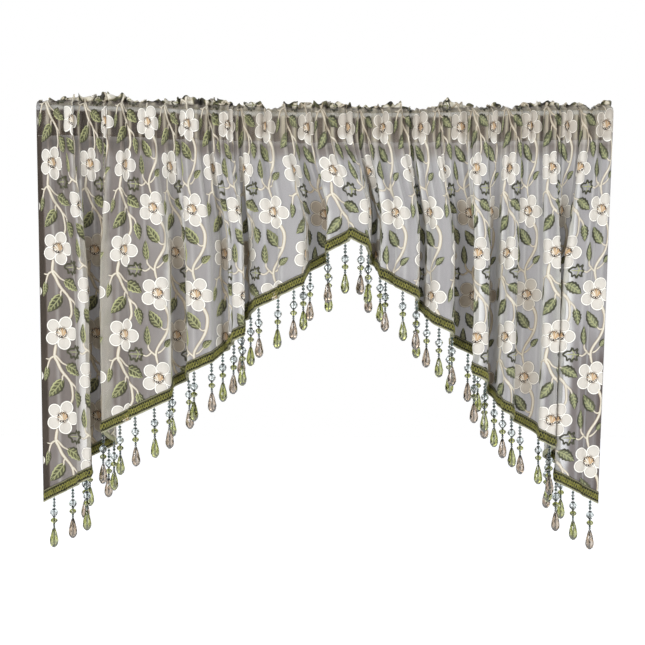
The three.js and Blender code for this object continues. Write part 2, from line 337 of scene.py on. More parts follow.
class Nodes:
    # Short ways to add nodes to the tree of a group, a material or the world. A colour is
    # three screen levels, or four linear numbers.
    def __init__(self, tree):
        self.tree = tree

    def add(self, kind, settings=None, **values):
        node = self.tree.nodes.new("ShaderNode" + kind)
        for name, value in (settings or {}).items():
            setattr(node, name, value)
        for name, value in values.items():
            node.inputs[name].default_value = value
        return node

    def join(self, given, socket):
        # A number or a colour is set on the socket itself, and an output is linked to it
        if isinstance(given, tuple):
            socket.default_value = srgb(*given) if len(given) == 3 else given
        elif isinstance(given, (int, float)):
            socket.default_value = given
        else:
            self.tree.links.new(given, socket)

    def math(self, operation, *given):
        node = self.add("Math", {"operation": operation})
        for i, value in enumerate(given):
            self.join(value, node.inputs[i])
        return node.outputs[0]

    def times(self, a, b):
        return self.math("MULTIPLY", a, b)

    def over(self, a, b):
        return self.math("GREATER_THAN", a, b)

    def without(self, share, times=1.0):  # (1 - share) times
        return self.times(self.math("SUBTRACT", 1.0, share), times)

    def noise(self, scale, detail=3.0, coordinates="Object"):
        coords = self.add("TexCoord")
        node = self.add("TexNoise", Scale=scale, Detail=detail)
        self.join(coords.outputs[coordinates], node.inputs["Vector"])
        return node.outputs["Fac"]

    def ramp(self, factor, *stops):
        # Each stop is its place and then its colour
        node = self.add("ValToRGB")
        elements = node.color_ramp.elements
        for i, (place, *colour) in enumerate(stops):
            element = elements[i] if i < 2 else elements.new(place)
            element.position = place
            element.color = srgb(*colour) if len(colour) == 3 else colour
        self.join(factor, node.inputs["Fac"])
        return node.outputs["Color"]

    def mix(self, factor, a, b, blend="MIX"):
        node = self.add("Mix", {"data_type": "RGBA", "blend_type": blend})
        for i, value in ((0, factor), (6, a), (7, b)):
            self.join(value, node.inputs[i])
        return node.outputs[2]

    def threadWave(self, place, pitch):  # |sin(pi place / pitch)|
        halfTurns = self.math("DIVIDE", place, pitch)
        return self.math("ABSOLUTE", self.math("SINE", self.times(halfTurns, math.pi)))


def makeGroup(name, output, **inputs):
    # A group with these inputs and one output, its nodes, and the node that gives the inputs
    group = bpy.data.node_groups.new(name, "ShaderNodeTree")
    for socket, value in inputs.items():
        added = group.interface.new_socket(socket, in_out="INPUT", socket_type="NodeSocketFloat")
        added.default_value = value
    group.interface.new_socket(output, in_out="OUTPUT", socket_type="NodeSocketFloat")
    given, out = group.nodes.new("NodeGroupInput"), group.nodes.new("NodeGroupOutput")
    return group, Nodes(group), given.outputs, out.inputs[output]


def makeThreadLines():
    # Rounded threads side by side: |sin(pi place / pitch)|, less a little noise
    group, nodes, given, out = makeGroup("threadLines", "Thread", Place=0.0, Pitch=1.0, Uneven=0.3)
    shake = nodes.times(nodes.noise(420.0, 2.0), given["Uneven"])
    nodes.join(nodes.math("SUBTRACT", nodes.threadWave(given["Place"], given["Pitch"]), shake), out)
    return group


def makeWeave():
    # Plain weave: the greater of two sets of thread lines, across and down the piece's own UV
    group, nodes, given, out = makeGroup("plainWeave", "Weave", Across=0.0, Down=0.0, Pitch=0.8)
    both = [nodes.threadWave(given[side], given["Pitch"]) for side in ("Across", "Down")]
    nodes.join(nodes.math("MAXIMUM", *both), out)
    return group


threadLines = makeThreadLines()
plainWeave = makeWeave()


class Finish(Nodes):
    # A material in the making: its nodes and its shader
    def __init__(self, name, **values):
        self.material = bpy.data.materials.new(name)
        self.material.use_nodes = True
        super().__init__(self.material.node_tree)
        self.shader = self.tree.nodes["Principled BSDF"]
        for socket, value in values.items():
            self.shader.inputs[socket.replace("_", " ")].default_value = value

    def link(self, output, socket):
        self.join(output, self.shader.inputs[socket])

    def mark(self, name):
        return self.add("Attribute", {"attribute_name": name}).outputs["Fac"]

    def group(self, tree, **values):
        node = self.add("Group", {"node_tree": tree})
        for socket, value in values.items():
            self.join(value, node.inputs[socket])
        return node.outputs[0]

    def threads(self, pitch, uneven):
        return self.group(threadLines, Place=self.mark("stitch"), Pitch=pitch, Uneven=uneven)

    def withPaintedShade(self, colour, dim):
        # Painted shade: duller stitches on the folds at the back, by the mark "near"
        return self.mix(self.mark("near"), self.mix(1.0, colour, dim, "MULTIPLY"), colour)

    def bump(self, height, strength, distance):
        node = self.add("Bump", Strength=strength, Distance=distance)
        self.join(height, node.inputs["Height"])
        self.link(node.outputs[0], "Normal")


# Finishes

def makeVoile():
    # Sheer voile: a fine plain weave whose threads hide more than the holes between them.
    # The marks say how much of the light it stops, and how light its threads look, with painted light and
    # shade in that tone.
    finish = Finish("sheerVoile", Roughness=0.8, Sheen_Weight=0.1, Sheen_Roughness=0.5)
    layer, split = finish.add("UVMap", {"uv_map": "uv"}), finish.add("SeparateXYZ")
    finish.join(layer.outputs[0], split.inputs[0])
    weave = finish.group(plainWeave, Across=split.outputs["X"], Down=split.outputs["Y"], Pitch=0.9)
    evenTone = finish.math("SUBTRACT", finish.mark("tone"), 0.12)
    clouds = finish.math("MULTIPLY_ADD", finish.noise(7.0), 0.24, evenTone)
    tone = finish.ramp(
        clouds, (0.0, 50, 42, 36), (0.18, 90, 80, 77), (0.36, 143, 140, 141), (0.8, 196, 195, 191),
        (1.0, 226, 224, 214),
    )
    tone = finish.mix(finish.mark("warm"), tone, finish.mix(1.0, tone, (255, 244, 218), "MULTIPLY"))
    # The ruffle's crushed pattern: embroidery colours, with painted shade and highlights in its crumples
    crushed = finish.ramp(
        finish.noise(46.0, 1.0), (0.39, 22, 18, 12), (0.43, 70, 72, 38), (0.485, 98, 94, 64),
        (0.51, 214, 204, 178), (0.62, 250, 245, 230),
    )
    tone = finish.mix(finish.mark("crushed"), tone, crushed)
    # Painted shade between the threads
    between = finish.mix(1.0, tone, (205, 205, 200), "MULTIPLY")
    finish.link(finish.mix(weave, between, tone), "Base Color")
    holes = finish.math("SUBTRACT", finish.mark("cover"), 0.05)
    finish.link(finish.math("MULTIPLY_ADD", weave, 0.1, holes), "Alpha")
    finish.bump(weave, 0.25, 0.0003)
    return finish.material


def makePetalSilk():
    # White satin stitch that runs out from the heart, with a groove inside the white rim painted darker as
    # shade, a painted shadow at the outer edge and painted shade between the threads
    finish = Finish("petalSilk", Roughness=0.55, Sheen_Weight=0.1)
    rim = finish.mark("rim")
    reach = finish.mark("reach")
    body = finish.ramp(reach, (0.3, 176, 162, 144), (0.42, 218, 214, 204), (1.0, 206, 203, 194))
    none, full = (0, 0, 0, 1), (1, 1, 1, 1)
    grooveShade = finish.ramp(
        rim, (0.7, *none), (0.79, *full), (0.86, *none), (0.95, *none), (1.0, 0.8, 0.8, 0.8, 1)
    )
    thread = finish.threads(1.5, 0.4)
    # Painted shade between the threads
    made = finish.mix(finish.without(thread, 0.5), body, (164, 152, 142))
    made = finish.mix(finish.over(rim, 0.82), made, (243, 240, 231))
    made = finish.mix(finish.times(grooveShade, 0.35), made, (150, 138, 126))
    # Painted shadow along the petal's outer edge
    made = finish.mix(finish.times(finish.over(rim, 0.955), 0.75), made, (84, 78, 72))
    finish.link(finish.withPaintedShade(made, (192, 182, 169)), "Base Color")
    finish.bump(thread, 0.5, 0.0004)
    return finish.material


def makeHeartThread():
    # The heart's threads by tone: 0 tan ground, a third dark brown, two thirds gold, 1 white
    finish = Finish("heartThread", Roughness=0.55)
    steps = finish.ramp(
        finish.mark("tone"), (0.0, 208, 190, 164), (0.17, 52, 38, 26), (0.5, 196, 162, 120),
        (0.84, 234, 228, 214),
    )
    steps.node.color_ramp.interpolation = "CONSTANT"
    speckle = finish.noise(700.0)
    made = finish.mix(finish.times(speckle, 0.2), steps, (84, 62, 42))
    finish.link(finish.withPaintedShade(made, (214, 204, 192)), "Base Color")
    finish.bump(speckle, 0.4, 0.0003)
    return finish.material


def makeLeafSilk():
    # Olive leaf: slanted stitches, a pale midrib and veins, a light rim on one side and a
    # dark one on the other, and painted shade between the threads. Where the mark "backlit" is
    # high it is paler with a dark rim, as painted backlight.
    finish = Finish("leafSilk", Roughness=0.55, Sheen_Weight=0.15)
    across, along, backlit = (finish.mark(name) for name in ("across", "along", "backlit"))
    side = finish.math("ABSOLUTE", across)
    patches = finish.noise(45.0)
    fill = finish.mix(
        backlit, finish.ramp(patches, (0.3, 62, 62, 30), (0.7, 122, 122, 78)),
        finish.ramp(patches, (0.3, 92, 98, 64), (0.7, 150, 154, 118)),
    )
    slant = finish.math("MULTIPLY_ADD", side, -1.1, finish.times(along, 5.2))
    wave = finish.math("SINE", finish.times(finish.math("ADD", slant, finish.noise(90.0, 2.0)), turn))
    darkness = finish.math("MULTIPLY_ADD", backlit, -0.35, 0.75)
    veined = finish.mix(finish.times(finish.math("LESS_THAN", wave, -0.4), darkness), fill, (42, 42, 18))
    pale = finish.math("MAXIMUM", finish.over(wave, 0.8), finish.math("LESS_THAN", side, 0.11))
    veined = finish.mix(finish.times(pale, 0.75), veined, (176, 178, 128))
    halves = finish.math("MULTIPLY_ADD", across, 0.5, 0.5)
    rimColour = finish.ramp(halves, (0.3, 182, 184, 132), (0.7, 54, 52, 24))
    rimColour = finish.mix(finish.times(backlit, 0.92), rimColour, (40, 40, 16))
    rim = finish.over(side, finish.math("MULTIPLY_ADD", backlit, -0.1, 0.7))
    thread = finish.threads(0.8, 0.35)
    # Painted shade between the threads
    made = finish.mix(finish.without(thread, 0.3), finish.mix(rim, veined, rimColour), (66, 66, 38))
    finish.link(finish.withPaintedShade(made, (212, 206, 196)), "Base Color")
    finish.bump(thread, 0.5, 0.0004)
    return finish.material


def makeStemCord():
    # Cream stem cord: close slanted stitches, tan along its two edges as painted shade where the round cord
    # turns away, and painted shade between the threads
    finish = Finish("stemCord", Roughness=0.6, Sheen_Weight=0.15)
    side = finish.math("ABSOLUTE", finish.mark("across"))
    body = finish.ramp(side, (0.4, 228, 222, 206), (1.0, 150, 130, 100))
    thread = finish.threads(1.1, 0.3)
    # Painted shade between the threads
    made = finish.mix(finish.without(thread, 0.35), body, (140, 122, 92))
    finish.link(finish.withPaintedShade(made, (210, 200, 186)), "Base Color")
    finish.bump(thread, 0.5, 0.0004)
    return finish.material


def makeYarn(name, light, dark, pitch):
    # Yarn: thread lines along the mark "stitch", between a light and a dark tone, with painted shade between
    # the threads
    finish = Finish(name, Roughness=0.75, Sheen_Weight=0.2)
    thread = finish.threads(pitch, 0.4)
    tone = finish.ramp(finish.noise(140.0), (0.3, *dark), (0.75, *light))
    # Painted shade between the threads
    finish.link(finish.mix(thread, finish.mix(0.65, tone, dark), tone), "Base Color")
    finish.bump(thread, 0.7, 0.0005)
    return finish.material


def makeRibbon():
    # The braid's ground by height: a pale selvedge below and above, and dark between them
    finish = Finish("braidGround", Roughness=0.8)
    bands = finish.ramp(
        finish.mark("across"), (0.0, 206, 204, 178), (0.14, 188, 186, 150), (0.18, 34, 36, 8),
        (0.82, 34, 36, 8), (0.86, 186, 182, 144), (0.95, 180, 174, 142), (0.98, 52, 44, 28),
    )
    thread = finish.threads(1.4, 0.4)
    # Painted shade between the threads
    between = finish.mix(1.0, bands, (150, 150, 140), "MULTIPLY")
    finish.link(finish.mix(thread, between, bands), "Base Color")
    finish.bump(thread, 0.6, 0.0005)
    return finish.material


def makeGlass(name, *levels):
    # Cut glass: clear, with a faint cloudiness in its colour
    finish = Finish(name, Roughness=0.02, Transmission_Weight=1.0, IOR=1.8)
    colour = srgb(*levels)
    deep = [0.55 * c for c in colour[:3]] + [1.0]
    finish.link(finish.ramp(finish.noise(160.0), (0.3, *deep), (0.65, *colour)), "Base Color")
    return finish.material


def makeEnamel():
    # White enamel on the rod, with faint patches in its gloss
    finish = Finish("rodEnamel", Roughness=0.3, Coat_Weight=0.3)
    patches = finish.noise(35.0)
    finish.link(finish.ramp(patches, (0.3, 226, 231, 236), (0.7, 240, 243, 246)), "Base Color")
    finish.link(finish.math("MULTIPLY_ADD", patches, 0.15, 0.25), "Roughness")
    return finish.material


voile = makeVoile()
petalSilk = makePetalSilk()
heartThread = makeHeartThread()
leafSilk = makeLeafSilk()
stemCord = makeStemCord()
braidGround = makeRibbon()
braidCord = makeYarn("braidCord", (110, 108, 52), (58, 56, 18), 1.6)
braidZigzag = makeYarn("braidZigzag", (158, 154, 66), (92, 90, 26), 1.3)
tapeCotton = makeYarn("tapeCotton", (196, 194, 160), (150, 148, 112), 1.2)
seamThread = makeYarn("seamThread", (206, 202, 192), (160, 154, 144), 0.8)
beadThread = makeYarn("beadThread", (96, 108, 104), (52, 60, 58), 0.6)
greenGlass = makeGlass("greenGlass", 168, 172, 106)
champagneGlass = makeGlass("champagneGlass", 180, 162, 142)
clearGlass = makeGlass("clearGlass", 226, 234, 234)
tealGlass = makeGlass("tealGlass", 112, 142, 136)
rodEnamel = makeEnamel()
print("finishes made")


# Rod

def makeRod():
    # A round section carried along the sagging line, drawn in a little at both ends
    steps, sides = rod["steps"], rod["sides"]
    x = np.linspace(0, rod["length"], steps + 1)
    x = np.concatenate([[0, 0], x[1:-1], [rod["length"], rod["length"]]])
    x[1], x[-2] = rod["endRound"], rod["length"] - rod["endRound"]
    radius = np.full(len(x), rod["radius"])
    radius[[0, -1]] -= rod["endRound"]
    angle = np.arange(sides) / sides * turn
    ring = np.stack([np.zeros(sides), np.cos(angle), np.sin(angle)], -1)
    spine = np.stack([x, 0 * x, rodHeight(x)], -1)
    points = (spine[:, None] + radius[:, None, None] * ring[None]).reshape(-1, 3)
    points = np.vstack([points, spine[[0, -1]]])
    first, last = len(points) - 2, len(points) - 1
    around = np.arange(sides)
    after = (around + 1) % sides
    lastRing = (len(x) - 1) * sides
    caps = [
        np.stack([np.full(sides, first), after, around], -1),
        np.stack([np.full(sides, last), lastRing + around, lastRing + after], -1),
    ]
    faces = gridFaces(len(x), sides, closed=True)[:, ::-1]
    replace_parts(makePiece("curtain_rod", (points, [faces, *caps], {}), rodEnamel), "rod")


makeRod()


# The panel

panel = {
    "columns": 800,
    "fallRows": 13,  # from the pocket's seam down to the fall
    "fall": -180.0,
    "bodyRows": 44,  # from there down to the hem
}


def panelHeights(u):
    # Heights of the rows: up the pocket's back, over the ruffle's edge and down to the hem
    stitch, waist, seam = cloth["stitch"], cloth["waist"], cloth["seam"]
    top, drop = ruffleTop(u), hemDrop(u)
    backRows = [*np.linspace(seam, waist, 7), *np.linspace(waist, stitch, 9)[1:]]
    ruffleRows = [0.3, 0.6, 0.85]
    frontRows = [
        *np.linspace(stitch, waist, 9)[1:],
        *np.linspace(waist, seam, 8)[1:],
        *np.linspace(seam, panel["fall"], panel["fallRows"] + 1)[1:],
    ]
    level = lambda heights: np.array(heights)[:, None] + 0 * u
    rise = lambda shares: lerp(stitch, top[None], np.array(shares)[:, None])
    body = lerp(panel["fall"], -drop[None], np.linspace(0, 1, panel["bodyRows"] + 1)[1:, None])
    behind = np.vstack([level(backRows), rise(ruffleRows)]) - 2 * top
    inFront = -np.vstack([rise([1, *ruffleRows[::-1], 0]), level(frontRows), body])
    return np.vstack([behind, inFront])


layerMap = {"down": 8.0, "across": 2.0, "rows": 96, "columns": 551}
nothing = -1e3  # a y in front of everything


def layerCell(x, depth):
    # Row and column of the map of layers at each place
    row = np.clip(np.round(depth / layerMap["down"]), 0, layerMap["rows"] - 1)
    column = np.clip(x / layerMap["across"], 0, layerMap["columns"] - 1)
    return row.astype(int), column.astype(int)


def farthestLayer():
    # For each cell of the map, the y of the cloth that hangs farthest back there
    u = np.linspace(0, cloth["flatWidth"], 4097)
    depth = layerMap["down"] * np.arange(layerMap["rows"])[:, None]
    (x, y), _ = planLine(spanAt(u)[None], depth)
    y = np.where(depth > hemDrop(u) + 4, nothing, y)
    table = np.full((layerMap["rows"], layerMap["columns"]), nothing)
    np.maximum.at(table, layerCell(x, depth + 0 * x), y)
    return table


def blurAcross(values, times):
    # The mean of each value and its neighbours to the left and right, several times over
    for _ in range(times):
        padded = np.pad(values, ((0, 0), (1, 1)), "edge")
        values = (padded[:, :-2] + padded[:, 1:-1] + padded[:, 2:]) / 3
    return values


# Cover is the share of the light that the cloth stops, and tone is how light its threads
# look, from 0 to 1. The tone carries painted light and shade.
looks = {
    "loneCover": 0.88,
    "frontCover": 0.52,  # of a layer with another close behind it
    "thickCover": 0.95,  # at the side hems, in the ruffle and where the cloth turns sideways
    "pocketCover": 0.7,
    "rodCover": 0.4,  # of the pocket's front over the rod
    "layerGap": 7.0,  # least distance to the layer behind
    # Painted light and shade: a lone layer's tone is low, and a layer with another close behind it is paler
    "loneTone": 0.39,
    "frontTone": 0.8,
    # Painted highlights along the gathers' crests and where the cloth turns sideways
    "crestHighlight": 0.18,  # added along the crests of the gathers
    "sidewaysHighlight": 0.26,  # added where the cloth turns sideways
    # Painted highlights on the pocket's swells and sideways turns, and painted shade in the ruffle, lighter
    # on its crumples' crests
    "pocketToneAndHighlights": (0.2, 0.5, 0.2),  # least, added on its swells, and added sideways
    "ruffleShading": (0.02, 0.5),  # least, and added on its crumples
    # Painted light where the pale rod shows through the pocket's front
    "rodPaintedLight": 0.8,
    "leftHemTone": 0.08,
    "leftShade": 0.2,  # taken away at the left
    "pocketShade": 0.2,  # close below the pocket
    "rightShade": 0.24,  # and at the lower right
    # The ruffle's crushed pattern carries painted shade and highlights in its crumples
    "crushed": 0.85,  # share of the crushed embroidery's pattern in the ruffle
}


def panelMarks(u, v, points):
    # How much light each place stops and how light its threads look. Its tone carries painted
    # light and shade: it is paler where another layer shows through it, has painted highlights along
    # the gathers' crests, where it turns sideways and on the pocket's swells, painted shade in the
    # ruffle's crumples and painted light where the rod shows behind. Smooth steps blend in the
    # pocket, the ruffle, the rod behind, the left hem and the painted shades.
    x, y, top = points[..., 0], points[..., 1], ruffleTop(u)
    turned = v < -top
    depth = np.maximum(-np.where(turned, 2 * top + v, -v), 0)
    inPocket = (depth < -cloth["seam"]) & ~turned
    behind = np.where(inPocket, 1, farthestLayer()[layerCell(x, depth)] - y > looks["layerGap"])
    behind = blurAcross(np.where(turned, 0, behind).astype(float), 3)
    sideways = smooth((0.86 - np.abs(clothNormal(u, v)[..., 1])) / 0.6)
    swell = np.clip(-gatherWave(u), 0, 1)
    crest = swell**5 * smooth((readTable(gatherTable, depth, u) - 0.6) / 2)
    doubled = smooth((cloth["sideHem"] - np.minimum(u, cloth["flatWidth"] - u)) / 2)
    ruffled = smooth((-v - cloth["stitch"]) / 3) * ~turned
    pocket = smooth((1 - cloth["seam"] - v) / 3) * ~turned
    belowPocket = smooth((depth + cloth["seam"] + 4) / 8) * smooth((95 - depth) / 30)
    overRod = smooth((8.5 - np.abs(v + 0.5)) / 3) * ~turned
    leftHem = smooth((cloth["sideHem"] - u) / 3) * (1 - ruffled)
    left = smooth((430 - x) / 330)
    lowerRight = smooth((x - 950) / 60) * smooth((depth - 380) / 140)
    # Painted shade in the hollows of the ruffle's crumples, lighter on their crests
    crumpleShading = 0.5 + 0.5 * np.sin(u / 6.1 + 2.2 * np.sin(u / 23) + 0.09 * v)

    cover = lerp(looks["loneCover"], looks["frontCover"], behind)
    cover = lerp(cover, looks["thickCover"], np.maximum(sideways * 0.7, np.maximum(doubled, ruffled)))
    cover = lerp(cover, looks["pocketCover"], pocket * (1 - ruffled))
    cover = lerp(cover, looks["rodCover"], overRod)

    # Painted light and shade: paler where another layer hangs close behind
    tone = lerp(looks["loneTone"], looks["frontTone"], behind)
    # Painted highlights along the gathers' crests and where the cloth turns sideways
    tone = tone + looks["crestHighlight"] * crest + looks["sidewaysHighlight"] * sideways
    # Painted highlights on the pocket's swells and where it turns sideways
    least, swellHighlight, turnHighlight = looks["pocketToneAndHighlights"]
    tone = lerp(tone, least + swellHighlight * swell**1.5 + turnHighlight * sideways, pocket * (1 - ruffled))
    # Painted shade in the ruffle, lighter on its crumples' crests
    least, ruffleHighlight = looks["ruffleShading"]
    tone = lerp(tone, least + ruffleHighlight * crumpleShading**3, ruffled)
    # Painted light where the rod shows behind
    tone = lerp(tone, looks["rodPaintedLight"], 0.8 * overRod)
    tone = lerp(tone, looks["leftHemTone"], 0.8 * leftHem) - looks["leftShade"] * left * (1 - ruffled)
    tone = tone - looks["rightShade"] * lowerRight - looks["pocketShade"] * belowPocket
    warm = np.clip(pocket + 0.7 * belowPocket + 0.5 * left + leftHem, 0, 1)
    tone = np.clip(tone, 0.02, 0.98)
    return {"cover": cover, "tone": tone, "warm": warm, "crushed": looks["crushed"] * ruffled}


def makePanel():
    # A grid of evenly spaced columns and the rows' heights, with the side hems turned back
    width, hem = cloth["flatWidth"], cloth["sideHem"]
    turned = hem * np.array([1, 0.75, 0.5, 0.3, 0.15, 0.05])
    u = np.concatenate([-turned, np.linspace(0, width, panel["columns"] + 1), width + turned[::-1]])
    inside = np.clip(np.where(u > width, 2 * width - u, np.abs(u)), 0, width)
    v = panelHeights(inside)
    u, inside = np.broadcast_to(u, v.shape), np.broadcast_to(inside, v.shape)
    points = sheetPoint(u, v)
    uv = np.stack([u, v], -1).reshape(-1, 2)
    shape = points.reshape(-1, 3), gridFaces(*v.shape), panelMarks(inside, v, points)
    piece = makePiece("sheer_panel", shape, voile, uv)
    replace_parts(piece, "panel")
    return piece


sheerPanel = makePanel()


# Embroidery, charted in millimetres from each flower's middle, x across and y down

chart = {
    "across": 137.0,  # from one column of a kind to the next
    "down": 160.0,  # from one flower of a column to the next
    "firstAcross": 40.0,  # u and v of the first upper flower
    "firstDown": 106.0,
    "edge": 1.2,  # bare cloth left along the cut edges
    "reverseLift": 0.35,  # height of the stitches on the cloth's reverse, as a share of the front's
    "petalReach": 20.4,  # from the flower's middle to the petal's
    "petalLength": 12.6,
    "petalWidth": 12.9,
    "middle": 18.5,  # radius of the close stitching under the petals' inner ends
    "firstPetal": 5.0,  # its direction in degrees
}

# Stems: width at start and end, then the points that the stitches follow
upperStems = [
    (6.4, 4.6, [(-11, 22), (-14, 44), (-9.5, 53), (0, 74), (15, 93), (19, 110), (19, 125), (13, 137)]),
    (4.4, 3.0, [(-14, 44), (-22, 49), (-26.5, 60), (-28, 68)]),
    (3.8, 2.2, [(-20, 48), (-25, 50), (-31, 49)]),
    (4.4, 3.0, [(-14, 42), (-8, 47), (0, 57), (9, 62)]),
    (3.8, 3.0, [(3, 77), (0, 83), (0, 87), (-1, 91)]),
    (4.6, 3.2, [(14, 92), (21, 98), (27, 104), (30, 112)]),
]
lowerStems = [
    (6.4, 4.4, [(12, 22), (20, 42), (18, 66), (11, 83), (2, 97), (-4, 110), (-4, 121), (-1, 134)]),
    (3.8, 2.6, [(18, 66), (13, 68), (9, 67), (5, 63)]),
    (4.4, 3.0, [(-4, 118), (-14, 110), (-18, 104), (-18.5, 97)]),
    (3.8, 3.0, [(-12, 111), (-18, 117), (-23, 119), (-28, 117)]),
    (3.8, 2.2, [(-1, 113), (5, 109), (9, 105), (13, 100)]),
]

# Leaves: base x and y, tip x and y, width, and how deep the teeth of the edge are
upperLeaves = np.array([
    (-28, 63, -33, 92, 10, 0.06), (7, 61, 39, 80, 24, 0.24), (1, 88, -26, 121, 22, 0.14),
    (29, 108, 36, 141, 18, 0.3),
], float)
lowerLeaves = np.array([
    (6, 65, -16, 33, 22, 0.16), (-18.5, 99, -20, 62, 12, 0.08), (12, 101, 27, 86, 13, 0.2),
], float)

# A lobed leaf of outline stitches below each upper flower, open inside, and its ribs
lobedOutline = [
    (41, 37), (36, 32), (38, 25), (31, 29), (27, 23), (24, 30), (17, 30), (9, 36), (16, 41), (17, 48),
    (23, 44), (27, 51), (30, 44), (37, 48), (36, 41), (41, 37),
]
lobedRibs = [[(40, 37), (28, 36), (14, 36)], [(33, 37), (27, 28)], [(31, 37), (27, 46)]]


def flowerPlaces(row, column):
    # Middles of a column kind's flowers all over the cloth, and over its turned back
    across = np.arange(-1, 17) * chart["across"] + chart["firstAcross"] + column
    down = np.arange(-2, 6) * chart["down"] + chart["firstDown"] + row
    u, v = (a.ravel() for a in np.meshgrid(across, down))
    width = cloth["flatWidth"]
    near = (u > -60) & (u < width + 60) & (v < hemDrop(np.clip(u, 0, width)) + 40)
    return u[near], v[near]


upperFlowers = flowerPlaces(0, 0)
lowerFlowers = flowerPlaces(chart["down"] / 2, chart["across"] / 2)
allFlowers = tuple(np.concatenate(pair) for pair in zip(upperFlowers, lowerFlowers))


def onCloth(u, v, lift):
    # Charted points laid on the cloth's face, held inside its cut edges
    edge, width = chart["edge"], cloth["flatWidth"]
    insideU = np.clip(u, edge, width - edge)
    lowest = hemDrop(insideU) - edge
    highest = cloth["seam"] - 2 * ruffleTop(insideU) + edge
    insideV = np.clip(v, highest, lowest)
    held = (insideU == u) & (insideV == v)
    return clothPoint(insideU, insideV) + clothNormal(insideU, insideV) * lift[..., None], held


# Painted shade and light on the stitches: dimmer on the folds at the back, as in shade, and paler with dark
# rims towards the right, as if lit from behind
stitchLight = {
    "frontY": -8.0,  # where stitches on the face start to dim
    "reverseY": -24.0,  # where those on the reverse are dimmest
    "dimming": 30.0,  # over this distance
    "pocketFrom": 320.0,  # x from which they are dimmer on the pocket too
    "pocketOver": 60.0,
    "pocketDim": 0.5,
    "backlitFrom": 300.0,
    "backlitOver": 260.0,
}


def stampAll(stamps, places, reverse=False):
    # stamps is a list of (x, y, lift, marks, faces), each laid at every place, on the face of
    # the cloth or, flatter and turned over, on its reverse
    points, faces, marks, start = [], [], {}, 0
    raised = -chart["reverseLift"] if reverse else 1
    for x, y, lift, stampMarks, stampFaces in stamps:
        u = places[0][:, None] + x.ravel()[None]
        v = places[1][:, None] + y.ravel()[None]
        laid, held = onCloth(u, v, np.broadcast_to(lift.ravel(), u.shape) * raised)
        copies = repeatFaces(stampFaces, len(u), x.size)
        kept = held.ravel()[copies].any(1)
        faces.append((copies[kept][:, ::-1] if reverse else copies[kept]) + start)
        points.append(laid.reshape(-1, 3))
        for name, values in stampMarks.items():
            marks.setdefault(name, []).append(np.broadcast_to(values.ravel(), u.shape).ravel())
        start += u.size
    faces = np.vstack(faces)
    used, compact = np.unique(faces, return_inverse=True)
    points = np.vstack(points)[used]
    marks = {name: np.concatenate(values)[used] for name, values in marks.items()}
    x, y, z = points.T
    # Painted shade: the mark "near" is low on the folds at the back and on the pocket's right part. Painted
    # backlight: "backlit" grows towards the right.
    dimmer = smooth((y - stitchLight["reverseY" if reverse else "frontY"]) / stitchLight["dimming"])
    near = dimmer if reverse else 1 - dimmer
    onPocket = smooth((x - stitchLight["pocketFrom"]) / stitchLight["pocketOver"])
    onPocket = onPocket * smooth((z - cloth["seam"]) / 8)
    marks["near"] = np.maximum(near - stitchLight["pocketDim"] * onPocket, 0)
    marks["backlit"] = smooth((x - stitchLight["backlitFrom"]) / stitchLight["backlitOver"])
    return points, compact.reshape(faces.shape), marks


def pressedDisc(levels):
    # A square grid pressed into a disc, x sqrt(1 - y^2 / 2) and the same for y, and how far
    # out each point's square ring is
    s, t = np.meshgrid(levels, levels)
    return s * np.sqrt(1 - t**2 / 2), t * np.sqrt(1 - s**2 / 2), np.maximum(np.abs(s), np.abs(t))


petalLevels = np.array([-1, -0.88, -0.62, -0.31, 0, 0.31, 0.62, 0.88, 1])


def petalStamp(angle):
    # A pressed disc stretched to the petal's oval. It domes, 1 - r^2, has a raised rim, and
    # overlaps the next petal on one side.
    x, y, level = pressedDisc(petalLevels)
    rim = np.hypot(x, y)
    lift = np.where(level > 0.99, 0.3, 0.6 + 0.35 * (1 - rim**2) + 0.2 * (level > 0.8)) + 0.22 * (1 + y)
    outward = chart["petalReach"] + x * chart["petalLength"]
    sideways = y * chart["petalWidth"] * (1 - 0.04 * x)
    cos, sin = math.cos(angle), math.sin(angle)
    reach = np.hypot(outward, sideways) / (chart["petalReach"] + chart["petalLength"])
    marks = {"rim": rim, "reach": reach, "stitch": np.arctan2(sideways, outward + 6) * 26}
    faces = gridFaces(len(petalLevels), len(petalLevels))
    return outward * cos - sideways * sin, outward * sin + sideways * cos, lift, marks, faces


def discStamp(radius, size, lowest, rise, marks):
    # A low round cushion on a pressed disc, rise (1 - r^2)
    x, y, _ = pressedDisc(np.linspace(-1, 1, size))
    marks = {name: value + 0 * x for name, value in marks.items()}
    return radius * x, radius * y, lowest + rise * (1 - x**2 - y**2), marks, gridFaces(size, size)


def strokePath(path, samples):
    # Evenly spaced points on a Catmull-Rom curve through the path's points
    path = np.array(path, float)
    ends = np.vstack([2 * path[0] - path[1], path, 2 * path[-1] - path[-2]])
    t = np.linspace(0, len(path) - 1 - 1e-9, 200)
    k = t.astype(int)
    fine, _ = catmullRom(ends[k], ends[k + 1], ends[k + 2], ends[k + 3], (t - k)[:, None])
    length = np.concatenate([[0], np.cumsum(np.hypot(*np.diff(fine, axis=0).T))])
    at = np.linspace(0, length[-1], samples)
    return np.stack([np.interp(at, length, fine[:, 0]), np.interp(at, length, fine[:, 1])], -1), at


narrow = (-1, 0, 1)
wide = (-1, -0.6, 0, 0.6, 1)


